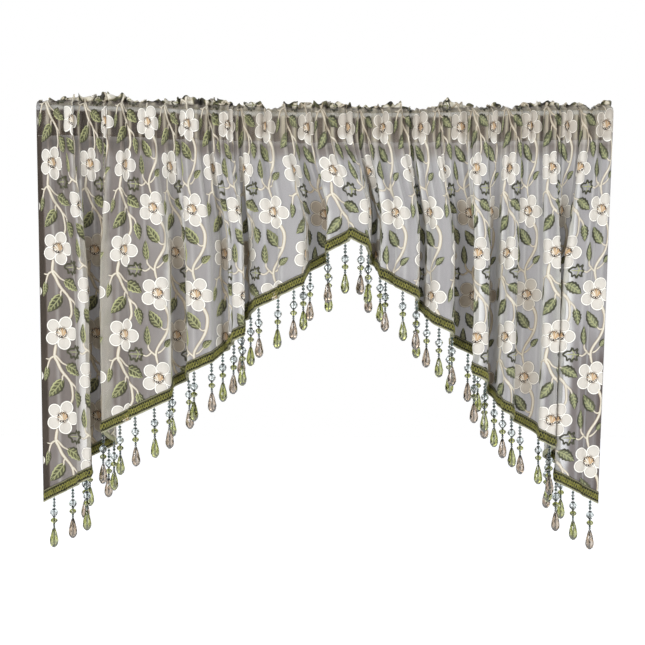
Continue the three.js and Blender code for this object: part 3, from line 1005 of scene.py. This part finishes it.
def strokeStamp(path, startWidth, endWidth, samples, height, marks=None, across=wide, lowest=0.35):
    # A band along a path, its width from start to end, with a rounded back sqrt(1 - across^2)
    line, at = strokePath(path, samples)
    direction = np.gradient(line, axis=0)
    direction /= np.hypot(*direction.T)[:, None]
    across = np.array(across)
    half = lerp(startWidth, endWidth, at / at[-1])[:, None] / 2
    half[[0, -1]] *= 0.55
    x = line[:, :1] + direction[:, 1:] * half * across
    y = line[:, 1:] - direction[:, :1] * half * across
    lift = lowest + height * np.sqrt(1 - across**2) + 0 * x
    made = {"across": across + 0 * x, "stitch": at[:, None] + 1.2 * across}
    made.update((name, value + 0 * x) for name, value in (marks or {}).items())
    return x, y, lift, made, gridFaces(samples, len(across))


def leafStamp(baseX, baseY, tipX, tipY, width, teeth):
    # Half width: sin(pi along^0.8)^0.8, notched by five falling teeth on each side
    along = np.linspace(0.01, 0.99, 21)[:, None]
    across = np.array([[-1, -0.84, -0.45, 0, 0.45, 0.84, 1]])
    notch = 1 - teeth * np.mod(along * 5.2, 1)
    half = width / 2 * np.sin(math.pi * along**0.8) ** 0.8 * notch + 0.25
    length = math.hypot(tipX - baseX, tipY - baseY)
    dx, dy = (tipX - baseX) / length, (tipY - baseY) / length
    bend = 1.6 * np.sin(math.pi * along)
    sideways, forward = across * half + bend, along * length
    x = baseX + dx * forward + dy * sideways
    y = baseY + dy * forward - dx * sideways
    side = np.abs(across)
    lift = np.where(side > 0.99, 0.4, np.where(side > 0.8, 1.0, 0.7 + 0.25 * (side < 0.1))) + 0 * x
    stitch = forward - 0.8 * np.abs(sideways)
    marks = {"across": across + 0 * x, "along": along + 0 * x, "stitch": stitch}
    return x, y, lift, marks, gridFaces(*x.shape)


heart = {
    "radius": 10.1,
    "fanReach": 8.2,
    "fanFoot": 5.6,  # how far below the middle the fan starts
    "strokeReach": 8.8,  # outer ends of the white strokes
    "breakReach": (8.4, 10.4),  # ends of the tan breaks
}
# The fan's wedges: direction in degrees, tone and width. The strokes: direction and length.
heartFan = [
    (165, 1.0, 2.4), (194, 0.0, 2.6), (222, 1.0, 2.7), (249, 0.0, 2.4), (273, 0.66, 2.7), (299, 0.0, 2.7),
    (326, 0.66, 2.8), (354, 0.66, 2.4),
]
heartStrokes = [(20, 3.4), (46, 3.0), (74, 2.2), (110, 2.2), (138, 3.2)]
heartBreaks = [8, 62, 180, 236, 262, 286, 312]


def outFrom(degrees, radius):
    # The point of the chart in a direction from a flower's middle
    return radius * math.cos(math.radians(degrees)), radius * math.sin(math.radians(degrees))


def heartStamps():
    # The heart: a low dark cushion, a fan of wedges from its lower middle, white on the left
    # and gold on the right, short white strokes below, and tan breaks across the dark edge
    stamps = [discStamp(heart["radius"], 7, 1.5, 0.3, {"across": 0.0, "stitch": 0.0, "tone": 0.33})]
    foot, reach = heart["fanFoot"], heart["strokeReach"]
    for degrees, tone, width in heartFan:
        x, y = outFrom(degrees, heart["fanReach"])
        path = [(0.16 * x + 0.8, foot), (0.5 * x + 0.8, lerp(foot, y, 0.45)), (x, y)]
        stamps.append(strokeStamp(path, 0.45 * width, 1.15 * width, 5, 0.5, {"tone": tone}, narrow, 1.8))
    for degrees, length in heartStrokes:
        path = [outFrom(degrees, reach), outFrom(degrees, reach - length)]
        stamps.append(strokeStamp(path, 2.3, 1.5, 4, 0.4, {"tone": 1.0}, narrow, 1.75))
    for degrees in heartBreaks:
        path = [outFrom(degrees, radius) for radius in heart["breakReach"]]
        stamps.append(strokeStamp(path, 1.6, 1.6, 3, 0.3, {"tone": 0.0}, narrow, 1.65))
    return stamps


def makeEmbroidery(side, reverse):
    angles = np.radians(chart["firstPetal"] + 72 * np.arange(5))
    middle = discStamp(chart["middle"], 9, 0.6, 0.2, {"rim": 0.3, "reach": 0.5, "stitch": 0.6})
    lobed = [
        strokeStamp(lobedOutline, 3.4, 3.4, 46, 0.6, {"across": 0.9, "along": 0.0}, narrow),
        *(strokeStamp(rib, 2.4, 1.6, 5, 0.4, {"across": 0.0, "along": 0.0}, narrow) for rib in lobedRibs),
    ]
    stems = merged(*(
        stampAll([strokeStamp(path, a, b, 4 + 2 * len(path), 0.7) for a, b, path in rows], places, reverse)
        for rows, places in ((upperStems, upperFlowers), (lowerStems, lowerFlowers))
    ))
    leaves = merged(
        stampAll([*(leafStamp(*row) for row in upperLeaves), *lobed], upperFlowers, reverse),
        stampAll([leafStamp(*row) for row in lowerLeaves], lowerFlowers, reverse),
    )
    petals = stampAll([middle, *(petalStamp(a) for a in angles)], allFlowers, reverse)
    hearts = stampAll(heartStamps(), allFlowers, reverse)
    return [
        makePiece(f"{side}_stems", stems, stemCord),
        makePiece(f"{side}_leaves", leaves, leafSilk),
        makePiece(f"{side}_petals", petals, petalSilk),
        makePiece(f"{side}_hearts", hearts, heartThread),
    ]


embroidery = makeEmbroidery("embroidered", False) + makeEmbroidery("reverse", True)


# The braid on the hem

braid = {
    "height": 23.0,
    "steps": 900,  # along the hem
    "groundLift": 0.7,
    "groundThickness": 0.8,
    "cordHeights": (3.4, 20.0),
    "cordRadius": 0.9,
    "cordSides": 7,
    "cordSteps": 1600,
    "cordLift": 0.3,  # height of the cords' middles over the ground
    "cordTwist": 4.2,
    "zigzagMiddle": 11.7,
    "zigzagReach": 6.4,
    "zigzagPitch": 8.4,
    "zigzagRadius": 1.15,
    "zigzagSides": 5,
    "zigzagLift": 0.45,  # height of the two zigzags' middles over the ground
    "zigzagCross": 0.35,  # how far they rise and sink where they cross
}
hemStretch = 1.118  # length along the sloping hem for each millimetre across


def hemPoint(u, above, lift):
    # A point at a height above the hem's edge, lifted off the cloth's face
    u, above = np.broadcast_arrays(u, above)
    v = hemDrop(u) - above
    return clothPoint(u, v) + clothNormal(u, v) * np.asarray(lift)[..., None]


def hemBand(u, profile, base):
    # A closed profile of (height above the edge, lift) rows carried along the hem, its two
    # ends closed. The mark "across" is the share of the height, "stitch" the way along.
    above, lift = np.array(profile).T
    points = hemPoint(u[:, None], above[None], base + lift[None] + 0 * u[:, None])
    first = np.arange(len(above))[None]
    ends = [first, (len(u) - 1) * len(above) + first[:, ::-1]]
    marks = {
        "across": np.tile(above / above.max(), len(u)),
        "stitch": np.repeat(u * hemStretch, len(above)),
    }
    return points.reshape(-1, 3), [gridFaces(len(u), len(above), closed=True), *ends], marks


def hemCord(u, above, lift, radius, sides, stitch, twist=None):
    # A round cord on a path of (u, height, lift); a twist swells it where its strands pass
    spine = hemPoint(u, above, lift + 0 * u)
    step = np.gradient(spine, axis=0)
    step /= np.linalg.norm(step, axis=1, keepdims=True)
    side = np.cross(step, clothNormal(u, hemDrop(u) - above))
    side /= np.linalg.norm(side, axis=1, keepdims=True)
    up = np.cross(side, step)
    angle = np.arange(sides) / sides * turn
    swell = 1.0 if twist is None else 1 + 0.2 * np.cos(2 * angle[None] + turn * u[:, None] / twist)
    ring = np.cos(angle)[None, :, None] * side[:, None] + np.sin(angle)[None, :, None] * up[:, None]
    points = spine[:, None] + ring * radius * (swell + 0 * angle[None] + 0 * u[:, None])[..., None]
    return points.reshape(-1, 3), gridFaces(len(u), sides, closed=True), {"stitch": stitch.ravel()}


def makeBraid():
    # A band laid on the cloth, two twisted cords along it, and two zigzags between them
    width, top, thick = cloth["flatWidth"], braid["height"], braid["groundThickness"]
    back, face = [(0, 0), (top, 0)], [(share * top, thick) for share in (0.8, 0.5, 0.2)]
    profile = [*back, (top, 0.7 * thick), *face, (0, 0.7 * thick)]
    band = hemBand(np.linspace(0, width, braid["steps"] + 1), profile, braid["groundLift"])
    ground = makePiece("braid_ground", band, braidGround)
    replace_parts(ground, "braid")
    surface = braid["groundLift"] + thick
    u, sides, twist = np.linspace(0, width, braid["cordSteps"] + 1), braid["cordSides"], braid["cordTwist"]
    stitch = u[:, None] * hemStretch + np.arange(sides) / sides * twist
    cords = merged(*(
        hemCord(u, above + 0 * u, surface + braid["cordLift"], braid["cordRadius"], sides, stitch, twist)
        for above in braid["cordHeights"]
    ))
    # A zigzag is a sine pulled almost to a triangle, over and under the other by turns
    step = np.arange(8 * int(width / braid["zigzagPitch"]) + 1)
    u = np.linspace(1, width - 1, len(step))
    swing = 2 / math.pi * np.arcsin(np.clip(np.sin(step * turn / 8 + 0.01), -1, 1) * 0.96)
    stitch = step[:, None] * 0.9 + np.arange(braid["zigzagSides"]) * 0.3
    zigzags = []
    for side in (1, -1):
        above = braid["zigzagMiddle"] + side * swing * braid["zigzagReach"]
        lift = surface + braid["zigzagLift"] + braid["zigzagCross"] * side * np.cos(step * turn / 8)
        zigzags.append(hemCord(u, above, lift, braid["zigzagRadius"], braid["zigzagSides"], stitch))
    return [
        ground, makePiece("braid_cords", cords, braidCord),
        makePiece("braid_zigzag", merged(*zigzags), braidZigzag),
    ]


braidPieces = makeBraid()


# The bead fringe

drops = {
    "count": 58,
    "first": 0.56,
    "setback": 2.8,  # the threads hang this far behind the cloth
    "swing": 0.012,  # how much the drops lean
    "threadRadius": 0.7,
    "threadTop": 3.0,  # how far the threads reach up over the hem's edge
    "threadEnd": 95.0,  # and down below it
    "cutSides": 9,
    "seedSides": 8,
    "tapeHeight": 9.0,
    "tapeThickness": 1.1,
    "tapeLift": -2.5,  # behind the cloth's face
    "tapeEnd": 1.0,
}

# Outlines of the beads: radius, and depth below the hem's edge
crystalOutline = [(0.0, 21.2), (2.4, 21.4), (6.4, 25.6), (7.9, 29.6), (6.4, 33.6), (2.4, 37.8), (0.0, 38.0)]
flatBeadOutline = [(0.0, 39.6), (2.8, 39.8), (6.0, 42.2), (6.8, 44.6), (6.0, 47.0), (2.8, 49.4), (0.0, 49.6)]
teardropOutline = [
    (0.0, 57.6), (1.8, 57.8), (3.8, 62.6), (5.6, 69.0), (7.2, 75.6), (8.3, 82.0), (8.2, 87.4), (6.2, 92.2),
    (2.8, 95.4), (0.0, 95.8),
]
# The small beads: radius, and depth of the middle
smallBeads = [(3.0, 4.6), (3.5, 10.6), (3.2, 16.6), (2.2, 38.8), (2.4, 51.6), (2.6, 55.4)]

dropU = (np.arange(drops["count"]) + drops["first"]) * cloth["flatWidth"] / drops["count"]
places = hemPoint(dropU, 0.0, -drops["setback"] + 0 * dropU)
swings = rng.normal(0, drops["swing"], (len(places), 2))
spins = rng.uniform(0, turn, len(places))


def cutBead(outline, sides):
    # Rings round a line, each turned half a facet from the last, closed by a point at each end
    radius, below = np.array(outline)[1:-1].T
    rings = len(radius)
    angle = (np.arange(sides)[None] + 0.5 * np.arange(rings)[:, None]) / sides * turn
    points = np.stack(
        [radius[:, None] * np.cos(angle), radius[:, None] * np.sin(angle), -below[:, None] + 0 * angle], -1
    )
    top, bottom = rings * sides, rings * sides + 1
    points = np.vstack([points.reshape(-1, 3), [[0, 0, -outline[0][1]], [0, 0, -outline[-1][1]]]])
    around = np.arange(sides)
    after = (around + 1) % sides
    faces = [np.stack([np.full(sides, top), around, after], -1)]
    for ring in range(rings - 1):
        a, b = ring * sides, (ring + 1) * sides
        faces += [
            np.stack([a + around, b + around, a + after], -1),
            np.stack([a + after, b + around, b + after], -1),
        ]
    lowest = (rings - 1) * sides
    faces.append(np.stack([np.full(sides, bottom), lowest + after, lowest + around], -1))
    return points, np.vstack(faces)


def seedBead(radius, middle):
    # A round bead, a little flattened
    angle = np.linspace(0, math.pi, 6)
    outline = np.stack([radius * np.sin(angle), middle - 0.9 * radius * np.cos(angle)], -1)
    return cutBead(outline, drops["seedSides"])


def hangAll(shape, chosen):
    # Copies of a bead shape under the chosen places, each turned and leaning a little
    points, faces = shape
    cos, sin = np.cos(spins[chosen])[:, None], np.sin(spins[chosen])[:, None]
    x = points[None, :, 0] * cos - points[None, :, 1] * sin
    y = points[None, :, 0] * sin + points[None, :, 1] * cos
    z = points[None, :, 2] + 0 * x
    x, y = x + swings[chosen, :1] * z, y + swings[chosen, 1:] * z
    moved = np.stack([x, y, z], -1) + places[chosen][:, None]
    return moved.reshape(-1, 3), repeatFaces(faces, len(chosen), len(points)), {}


def makeFringe():
    # The beads and threads hung from the hem, and the tape behind it that carries them
    everyone, sides = np.arange(len(places)), drops["cutSides"]
    teardrop = cutBead(teardropOutline, sides)
    seeds = [hangAll(seedBead(*bead), everyone) for bead in smallBeads]
    radius, top, end = drops["threadRadius"], drops["threadTop"], drops["threadEnd"]
    thread = [(0, -top), (radius, 0.1 - top), (radius, 26), (radius, 60), (radius, end), (0, end + 0.1)]
    made = [
        makePiece(name, shape, finish, flatShade=True) for name, shape, finish in (
            ("teardrops_green", hangAll(teardrop, everyone[::2]), greenGlass),
            ("teardrops_champagne", hangAll(teardrop, everyone[1::2]), champagneGlass),
            ("round_crystals", hangAll(cutBead(crystalOutline, sides), everyone), clearGlass),
            ("flat_beads_green", hangAll(cutBead(flatBeadOutline, sides), everyone), greenGlass),
            ("seed_beads_teal", merged(*seeds[::2]), tealGlass),
            ("seed_beads_clear", merged(*seeds[1::2]), clearGlass),
        )
    ]
    points, faces, marks = hangAll(cutBead(thread, 6), everyone)
    marks["stitch"] = points[:, 2]
    made.append(makePiece("bead_threads", (points, faces, marks), beadThread))
    u = np.linspace(drops["tapeEnd"], cloth["flatWidth"] - drops["tapeEnd"], braid["steps"] + 1)
    height, thick = drops["tapeHeight"], drops["tapeThickness"]
    points, faces, marks = hemBand(u, [(0, 0), (0, thick), (height, thick), (height, 0)], drops["tapeLift"])
    faces = [rows[:, ::-1] for rows in faces]
    tape = makePiece("fringe_tape", (points, faces, marks), tapeCotton)
    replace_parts(tape, "bead_fringe_left", "bead_fringe_right")
    return made + [tape]


fringePieces = makeFringe()


# Stitching

stitches = {"pitch": 3.4, "path": [(0, 0), (0.7, 0), (1.5, 0), (2.3, 0)], "width": 0.6, "lift": 0.55}


def makeStitching():
    # Two rows of short stitches, at the foot of the ruffle and along the pocket's seam
    u = np.arange(2, cloth["flatWidth"] - 3, stitches["pitch"])
    width = stitches["width"]
    stitch = strokeStamp(stitches["path"], width, width, 4, 0.35, None, narrow, stitches["lift"])
    rows = [stampAll([stitch], (u, np.full(len(u), v))) for v in (-cloth["stitch"], -cloth["seam"])]
    return makePiece("seam_stitches", merged(*rows), seamThread)


stitching = makeStitching()


# Stage, lights and camera

stage = {
    "floorMiddle": 0.55,
    "floorHeight": -1.35,
    "floorHalf": 6.0,
    "floorGlow": 0.62,
    "skyColour": (0.92, 0.95, 1.0, 1),
    "skyStrength": 0.52,
    "glassDark": (0.74, 0.03, 0.035, 0.03, 1),  # place and colour of what the glass shows
    "glassBright": (0.94, 1.3, 1.3, 1.3, 1),
    "lens": 64.2,
    "cameraPlace": (0.49, -2.2, -0.36),
    "cameraTilt": (-1.16, -1.39, -0.34),  # degrees about x, z and the line of sight
}
# Lights: place, what they point at, width and power
lights = {
    "key": ((-1.2, -2.2, 1.0), (0.5, 0, -0.35), 1.6, 50),
    "fill": ((2.4, -1.8, -0.2), (0.6, 0, -0.4), 1.8, 23),
    "rim": ((0.5, 1.8, 0.9), (0.5, 0, -0.3), 1.6, 26),
}


def addObject(name, data):
    added = bpy.data.objects.new(name, data)
    bpy.context.collection.objects.link(added)
    return added


def makeFloor():
    # A pale square floor that glows a little
    mesh = bpy.data.meshes.new("floor")
    middle, half, z = stage["floorMiddle"], stage["floorHalf"], stage["floorHeight"]
    corners = [(middle + i * half, j * half, z) for i, j in ((-1, -1), (1, -1), (1, 1), (-1, 1))]
    mesh.from_pydata(corners, [], [(0, 1, 2, 3)])
    glow = stage["floorGlow"]
    finish = Finish("paleFloor", Roughness=0.9, Emission_Color=(1, 1, 1, 1), Emission_Strength=glow)
    tone = finish.ramp(finish.noise(1.5), (0.0, 0.9, 0.9, 0.9, 1), (1.0, 0.94, 0.94, 0.94, 1))
    finish.link(tone, "Base Color")
    mesh.materials.append(finish.material)
    addObject("floor", mesh)


def makeWorld():
    # White where the camera looks straight at it and a soft grey sky for the light. What the
    # glass shows is bright in front and behind and dark to the sides, with soft uneven edges.
    world = bpy.data.worlds.new("studio")
    bpy.context.scene.world = world
    world.use_nodes = True
    nodes = Nodes(world.node_tree)
    sky = nodes.tree.nodes["Background"]
    sky.inputs["Color"].default_value = stage["skyColour"]
    sky.inputs["Strength"].default_value = stage["skyStrength"]
    white = nodes.add("Background", Color=(1, 1, 1, 1), Strength=1.0)
    bands = nodes.add("Background", Strength=1.0)
    coords, split = nodes.add("TexCoord"), nodes.add("SeparateXYZ")
    nodes.join(coords.outputs["Generated"], split.inputs[0])
    forward = nodes.math("SUBTRACT", nodes.math("ABSOLUTE", split.outputs["Y"]), 0.25)
    forward = nodes.math("MULTIPLY_ADD", nodes.noise(3.2, 1.0, "Generated"), 0.5, forward)
    nodes.join(nodes.ramp(forward, stage["glassDark"], stage["glassBright"]), bands.inputs["Color"])
    path = nodes.add("LightPath").outputs
    inGlass = nodes.math("MAXIMUM", path["Is Glossy Ray"], path["Is Transmission Ray"])
    shown = sky
    for share, other in ((path["Is Camera Ray"], white), (inGlass, bands)):
        blend = nodes.add("MixShader")
        for i, given in enumerate((share, shown.outputs[0], other.outputs[0])):
            nodes.join(given, blend.inputs[i])
        shown = blend
    nodes.join(shown.outputs[0], nodes.tree.nodes["World Output"].inputs["Surface"])


def makeLight(name, place, aim, size, power):
    # A square light that points from its place at its aim
    data = bpy.data.lights.new(name, "AREA")
    data.shape, data.size, data.energy = "SQUARE", size, power
    light = addObject(name, data)
    light.location = place
    light.rotation_euler = (Vector(aim) - Vector(place)).to_track_quat("-Z", "Y").to_euler()


def makeCamera():
    # Looks from the front along y, turned a little from there by its three tilts
    camera = addObject("camera", bpy.data.cameras.new("camera"))
    camera.data.sensor_width = 36.0
    camera.data.lens = stage["lens"]
    camera.location = stage["cameraPlace"]
    tilt, swing, roll = (math.radians(angle) for angle in stage["cameraTilt"])
    turned = Matrix.Rotation(swing, 3, "Z") @ Matrix.Rotation(tilt, 3, "X")
    turned = turned @ Matrix.Rotation(roll, 3, "Y") @ Matrix.Rotation(math.pi / 2, 3, "X")
    camera.rotation_euler = turned.to_euler()
    bpy.context.scene.camera = camera


makeFloor()
makeWorld()
for name, row in lights.items():
    makeLight(name, *row)
makeCamera()

scene = bpy.context.scene
scene.view_settings.view_transform = "Standard"
scene.cycles.use_denoising = True
scene.cycles.transparent_max_bounces = 32

print("stage, lights and camera set")
